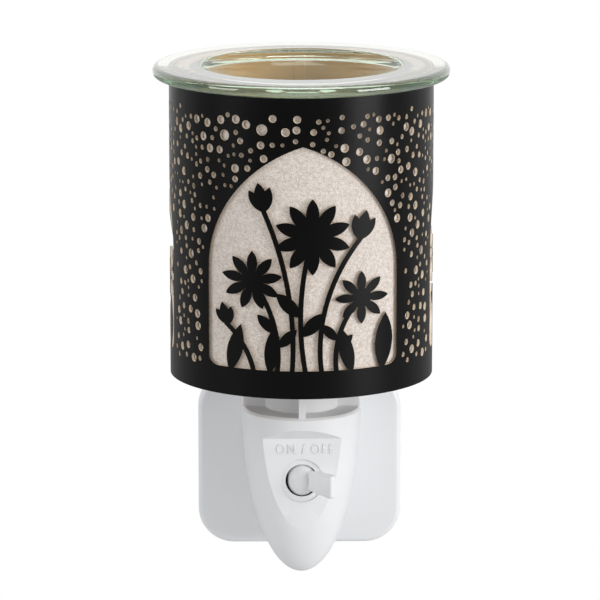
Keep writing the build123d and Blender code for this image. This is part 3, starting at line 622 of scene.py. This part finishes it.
def lathe(name, line, segments, material):
    """Turns a profile that starts and ends on the lamp's axis, and links the new object."""
    shape = bmesh.new()
    rings = []
    for point in line:
        if point.x < 1e-7:
            rings.append([shape.verts.new((0, AXIS_Y, point.y))])
            continue
        ring = []
        for i in range(segments):
            turn = 2 * math.pi * i / segments
            x, y = point.x * math.cos(turn), AXIS_Y + point.x * math.sin(turn)
            ring.append(shape.verts.new((x, y, point.y)))
        rings.append(ring)
    for low, high in zip(rings, rings[1:]):
        for i in range(segments):
            j = (i + 1) % segments
            corners = [low[i % len(low)], low[j % len(low)], high[j % len(high)], high[i % len(high)]]
            unique = list(dict.fromkeys(corners))
            if len(unique) > 2:
                shape.faces.new(unique)
    bmesh.ops.recalc_face_normals(shape, faces=shape.faces)
    return linked(name, mesh_of(shape, name, material, smooth=True))


print("lathe ready")

# %% Glass dish
SHADE_TOP, RIM_TOP = 129.3 * MM, 132.9 * MM
BOWL_DEPTH, GLASS, STEP, RIM_ROUND = 14 * MM, 3 * MM, 1.2 * MM, 1.74 * MM
BOWL_R, MOUTH_R, NECK_R, STEP_R, RIM_R = 22 * MM, 30.5 * MM, 33.5 * MM, 37.8 * MM, 45 * MM
BOWL_FLOOR, DISH_FACETS = RIM_TOP - BOWL_DEPTH, 192
dish_corners = [
    (0, BOWL_FLOOR, 0),
    (0, BOWL_FLOOR - GLASS, 0),
    (BOWL_R, BOWL_FLOOR - GLASS, 8 * MM),
    (NECK_R, SHADE_TOP - STEP, 1.0 * MM),
    (STEP_R, SHADE_TOP - STEP, 0.4 * MM),
    (STEP_R, SHADE_TOP, 0.2 * MM),
    (RIM_R, SHADE_TOP, RIM_ROUND),
    (RIM_R, RIM_TOP, RIM_ROUND),
    (MOUTH_R, RIM_TOP, 1.2 * MM),
    (BOWL_R, BOWL_FLOOR, 5 * MM),
]
profile = rounded(dish_corners)
dish = lathe("pressed_glass_dish", profile[1:] + profile[:1], DISH_FACETS, dish_finish.material)
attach(dish, "dish")
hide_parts("glass_dish")
print("dish triangles about", 2 * len(dish.data.polygons))

# %% [markdown]
# ## Thread of the bulb's cap
# A small Edison screw cap is thin sheet rolled into a round thread. The thread is a wave along the
# axis that climbs one pitch per turn, so the cap is turned like the dish, with the wave's phase
# following the angle.

# %% Threaded cap
CAP_LOW, CAP_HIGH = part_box("bulb_cap")[0].z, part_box("bulb_cap")[1].z
PITCH, CREST, ROOT, CAP_SHEET = 2.82 * MM, 6.95 * MM, 6.45 * MM, 0.3 * MM
STEPS, AROUND, FADE = 60, 72, 6
cap_shape = bmesh.new()
grid = []
for k in range(STEPS + 1):
    z = CAP_LOW + (CAP_HIGH - CAP_LOW) * k / STEPS
    fade = min(1, min(k, STEPS - k) / FADE)
    ring = []
    for i in range(AROUND):
        turn = 2 * math.pi * i / AROUND
        wave = 0.5 + 0.5 * math.cos(2 * math.pi * (z - CAP_LOW) / PITCH - turn)
        reach = ROOT + (CREST - ROOT) * (1 - fade + fade * wave)
        ring.append(cap_shape.verts.new((reach * math.cos(turn), AXIS_Y + reach * math.sin(turn), z)))
    grid.append(ring)
for low, high in zip(grid, grid[1:]):
    for i in range(AROUND):
        j = (i + 1) % AROUND
        cap_shape.faces.new((low[i], low[j], high[j], high[i]))
bmesh.ops.recalc_face_normals(cap_shape, faces=cap_shape.faces)
cap = linked("threaded_cap", mesh_of(cap_shape, "threaded_cap", cap_metal, smooth=True))
wall = cap.modifiers.new("sheet", "SOLIDIFY")
wall.thickness = CAP_SHEET
wall.offset = -1
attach(cap, "bulb")
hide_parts("bulb_cap")
print("cap thread turns:", round((CAP_HIGH - CAP_LOW) / PITCH, 1))

# %% [markdown]
# ## Coiled filament
# A filament is a very fine wire wound into a long coil, hung between two leads. A coil along an arc is
# a path that follows a rule, so it is made as a curve with a round bevel and turned into a mesh.

# %% Filament
TURNS, PER_TURN, SPAN_SHARE = 46, 8, 0.98
WIRE, COIL_R, LEAN, INSET = 0.05 * MM, 0.12 * MM, 0.096 * MM, 0.15 * MM
f_low, f_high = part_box("bulb_filament")
span, rise = (f_high.x - f_low.x) / 2 * SPAN_SHARE, f_high.z - f_low.z
coil = bpy.data.curves.new("coiled_filament", "CURVE")
coil.dimensions = "3D"
coil.bevel_depth = WIRE
coil.bevel_resolution = 1
coil.use_fill_caps = True
coil.materials.append(tungsten)
track = coil.splines.new("POLY")
track.points.add(TURNS * PER_TURN)
for i, point in enumerate(track.points):
    share = i / (TURNS * PER_TURN)
    side = 2 * share - 1
    phase = 2 * math.pi * TURNS * share
    arc = Vector((side * span, AXIS_Y, f_low.z + INSET + (rise - 2 * INSET) * (1 - side * side)))
    out = Vector((LEAN * math.cos(phase) * side, COIL_R * math.sin(phase), COIL_R * math.cos(phase)))
    point.co = (*(arc + out), 1)
filament = linked("coiled_filament", as_mesh(linked("coil_path", coil)))
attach(filament, "bulb")
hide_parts("bulb_filament")
print("filament turns:", TURNS)

# %% [markdown]
# ## Slim ball of the lever
# The lever's ball is a little slimmer across than it is high, so a dark gap shows at both sides of it. The
# CAD lever has a true ball. A copy of its mesh is welded, and the points that lie on the ball are drawn in
# towards the upright pivot, which leaves the paddle and the tail as they are.

# %% Slim lever
PIVOT = Vector((0, -57.2 * MM, 6.5 * MM))
BALL, SLIM, NEAR = 5.3 * MM, 0.86, 0.02 * MM
lever_shape = bmesh.new()
lever_shape.from_mesh(nodes["switch_lever"].data)
bmesh.ops.remove_doubles(lever_shape, verts=lever_shape.verts, dist=WELD)
drawn_in = [v for v in lever_shape.verts if abs((v.co - PIVOT).length - BALL) < NEAR]
for point in drawn_in:
    point.co.x = PIVOT.x + SLIM * (point.co.x - PIVOT.x)
    point.co.y = PIVOT.y + SLIM * (point.co.y - PIVOT.y)
lever = linked("slim_lever", mesh_of(lever_shape, "slim_lever", white.material, smooth=True))
lever.data.set_sharp_from_angle(angle=SHARP)
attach(lever, "switch")
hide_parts("switch_lever")
print("points drawn in:", len(drawn_in), "of", len(lever.data.vertices))

# %% [markdown]
# ## Words on the switch panel
# The panel has ON / OFF moulded on it in low, narrow raised letters. Words are a text object that becomes
# a mesh, is narrowed, stood upright, and set on the panel's face.

# %% Raised words
PANEL_Y, WORDS_X, WORDS_Z, NARROW = -60.4 * MM, 0.9 * MM, 16.4 * MM, 0.8
words = bpy.data.curves.new("switch_words", "FONT")
words.body = "ON / OFF"
words.size = 4.5 * MM
words.space_character = 1.2
words.align_x, words.align_y = "CENTER", "CENTER"
words.offset = -0.06 * MM
words.extrude = 0.16 * MM
words.bevel_depth = 0.06 * MM
word_mesh = as_mesh(linked("word_shape", words))
word_mesh.transform(Matrix.Diagonal((NARROW, 1, 1, 1)))
word_mesh.transform(Matrix.Rotation(math.pi / 2, 4, "X"))
word_mesh.transform(Matrix.Translation((WORDS_X, PANEL_Y, WORDS_Z)))
word_mesh.materials.clear()
word_mesh.materials.append(white.material)
letters = linked("switch_words", word_mesh)
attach(letters, "base")
print("words are", round(letters.dimensions.x / MM, 1), "mm wide")

# %% [markdown]
# ## Cross-head screws
# Four screws hold the back cover. They are all the same, so one head is made and Geometry Nodes set
# it on the corners of a grid, each turned by a different amount, as a hand leaves them.

# %% One screw head
HEAD_R, HEAD_DEPTH, HEAD_BEVEL = 2.3 * MM, 1.0 * MM, 0.25 * MM
SHANK_R, SHANK_LENGTH = 1.2 * MM, 3.4 * MM
CROSS_LONG, CROSS_SHORT, CROSS_DEPTH = 2.6 * MM, 0.55 * MM, 1.1 * MM
head_shape = bmesh.new()
bmesh.ops.create_cone(
    head_shape, cap_ends=True, segments=40, radius1=HEAD_R, radius2=HEAD_R, depth=HEAD_DEPTH,
    matrix=Matrix.Translation((0, 0, -HEAD_DEPTH / 2)),
)
rim = [e for e in head_shape.edges if all(v.co.z > -HEAD_DEPTH / 10 for v in e.verts)]
bmesh.ops.bevel(head_shape, geom=rim, offset=HEAD_BEVEL, segments=3, affect="EDGES")
bmesh.ops.create_cone(
    head_shape, cap_ends=True, segments=24, radius1=SHANK_R, radius2=SHANK_R, depth=SHANK_LENGTH,
    matrix=Matrix.Translation((0, 0, -HEAD_DEPTH - SHANK_LENGTH / 2)),
)
cross_shape = bmesh.new()
for long, short in ((CROSS_LONG, CROSS_SHORT), (CROSS_SHORT, CROSS_LONG)):
    bmesh.ops.create_cube(cross_shape, size=1, matrix=Matrix.Diagonal((long, short, CROSS_DEPTH, 1)))
blank = linked("screw_blank", mesh_of(head_shape, "screw_blank"))
cutter = linked("cross_cutter", mesh_of(cross_shape, "cross_cutter"))
cross = blank.modifiers.new("cross", "BOOLEAN")
cross.object, cross.operation, cross.solver, cross.use_self = cutter, "DIFFERENCE", "EXACT", True
head = linked("screw_head", as_mesh(blank))
bpy.data.objects.remove(cutter)
print("screw head faces:", len(head.data.polygons))

# %% Tree of the screws
screws = GeometryTree(
    "screws_on_a_grid",
    Width=("NodeSocketFloat", 48 * MM),
    Height=("NodeSocketFloat", 39.2 * MM),
    Head=("NodeSocketObject", None),
    Seed=("NodeSocketInt", 4),
    Metal=("NodeSocketMaterial", None),
)
plate = {"Size X": screws.given("Width"), "Size Y": screws.given("Height"), "Vertices X": 2, "Vertices Y": 2}
corners = screws.node("GeometryNodeMeshGrid", None, plate, "Mesh")
half_turn = {2: 0, 3: math.pi, "Seed": screws.given("Seed")}
spin = {"Z": screws.node("FunctionNodeRandomValue", None, half_turn, output=1)}
info = screws.node("GeometryNodeObjectInfo", None, {"Object": screws.given("Head")}, "Geometry")
spread = {"Points": corners, "Instance": info, "Rotation": screws.node("ShaderNodeCombineXYZ", None, spin)}
flat = screws.node("GeometryNodeInstanceOnPoints", None, spread)
stand = {"Geometry": flat, "Rotation": (-math.pi / 2, 0, 0)}
upright = screws.node("GeometryNodeTransform", None, stand)
solid = screws.node("GeometryNodeRealizeInstances", None, {"Geometry": upright})
coat = {"Geometry": solid, "Material": screws.given("Metal")}
screws.give(screws.node("GeometryNodeSetMaterial", None, coat))
print("screw tree nodes:", len(screws.tree.nodes))

# %% Screws on the back cover
holder = linked("screw_holder", bpy.data.meshes.new("screw_holder"))
screws.put_on(holder, Head=head, Metal=steel)
back_screws = linked("cross_head_screws", as_mesh(holder))
bpy.data.objects.remove(head)
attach(back_screws, "base")
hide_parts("back_screws")
print("screws span", [round(d / MM, 1) for d in back_screws.dimensions])

# %% [markdown]
# ## Seam of the hoop
# The hoop is a strip of sheet bent round, and its ends overlap at the back. The overlap is a thin closed
# strip with sloping ends, let into the hoop a little, and it shows through the glass.

# %% Hoop seam
INNER, LET_IN, SEAM_LIFT, END_LIFT = 38.1 * MM, 0.1 * MM, 0.22 * MM, 0.02 * MM
SEAM_RUNS, SEAM_ANGLE, SEAM_MARGIN = 8, 0.11, 0.1 * MM
h_low, h_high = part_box("top_hoop")
seam_low, seam_high = h_low.z + SEAM_MARGIN, h_high.z - SEAM_MARGIN
seam_shape = bmesh.new()
loops = []
for i in range(SEAM_RUNS + 1):
    turn = math.pi / 2 + (i / SEAM_RUNS - 0.5) * SEAM_ANGLE
    near = INNER - (SEAM_LIFT if 0 < i < SEAM_RUNS else END_LIFT)
    far = INNER + LET_IN
    loop = []
    for r, z in ((near, seam_low), (near, seam_high), (far, seam_high), (far, seam_low)):
        loop.append(seam_shape.verts.new((r * math.cos(turn), AXIS_Y + r * math.sin(turn), z)))
    loops.append(loop)
for first, second in zip(loops, loops[1:]):
    for i in range(4):
        j = (i + 1) % 4
        seam_shape.faces.new((first[i], first[j], second[j], second[i]))
for last in (loops[0], loops[-1]):
    seam_shape.faces.new(last)
bmesh.ops.recalc_face_normals(seam_shape, faces=seam_shape.faces)
seam = linked("hoop_seam", mesh_of(seam_shape, "hoop_seam", gold.material))
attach(seam, "shade")
print("seam faces:", len(seam.data.polygons))

# %% [markdown]
# ## Light, floor and background
# A large soft light stands on the right, a weaker one on the left and a third overhead. The background is
# white to the camera and in glass. A dark room in front of the object keeps the black lacquer deep in the
# middle and lets the white behind it show along both sides.


# %% Lights
def softbox(name, where, size, power):
    """A square lamp that looks at the object from where, in metres from it."""
    data = bpy.data.lights.new(name, "AREA")
    data.shape, data.size, data.energy = "SQUARE", size, power
    lamp = linked(name, data)
    lamp.location = AIM + Vector(where)
    lamp.rotation_euler = (-Vector(where)).to_track_quat("-Z", "Y").to_euler()


softbox("key_right", (1.5, -1.0, 0.25), 0.9, 20.5)
softbox("fill_left", (-1.6, -0.8, 0.4), 0.8, 8.5)
softbox("top", (0.1, -0.3, 1.8), 1.0, 9)
print("three soft lights")

# %% World
DIM, FRONT, TO_BACK = 0.5, 0.16, (-0.25, 0.75)
world = bpy.data.worlds.new("studio")
bpy.context.scene.world = world
world.use_nodes = True
room = NodeTree(world.node_tree)
direction = room.node("ShaderNodeTexCoord", output="Generated")
backward = room.node("ShaderNodeSeparateXYZ", None, {"Vector": direction}, output="Y")
mirrored = FRONT + (1 - FRONT) * backward.between(*TO_BACK)
glossy = ray(room, "Is Glossy Ray")
seen = 1 - glossy + glossy * mirrored
plain = ray(room, "Is Camera Ray").math("MAXIMUM", ray(room, "Is Transmission Ray"))
shown = plain.math("MAXIMUM", glossy)
sky = room.tree.nodes["Background"].inputs
sky["Color"].default_value = (1, 1, 1, 1)
room.plug(sky["Strength"], DIM + shown * (seen - DIM))
print("world nodes:", len(room.tree.nodes))

# %% Floor
FLOOR_Z, REACH = -0.5, 3.0
floor_finish = Finish("pale_floor", Base_Color=(0.6, 0.6, 0.6, 1), Roughness=0.9)
seen_plain = ray(floor_finish, "Is Camera Ray")
seen_in_glass = ray(floor_finish, "Is Transmission Ray")
glow = floor_finish.node("ShaderNodeEmission", None, {"Strength": 1.0})
floor_finish.blend(seen_plain + seen_in_glass, glow)
square = [(x * REACH, y * REACH, FLOOR_Z) for x, y in ((-1, -1), (1, -1), (1, 1), (-1, 1))]
floor_data = bpy.data.meshes.new("floor")
floor_data.from_pydata(square, [], [(0, 1, 2, 3)])
floor_data.materials.append(floor_finish.material)
floor = linked("floor", floor_data)
floor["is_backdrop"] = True
print("white room ready")

# %% Sizes and finish
low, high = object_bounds()
print("visual box", [round(c, 4) for c in low], [round(c, 4) for c in high])
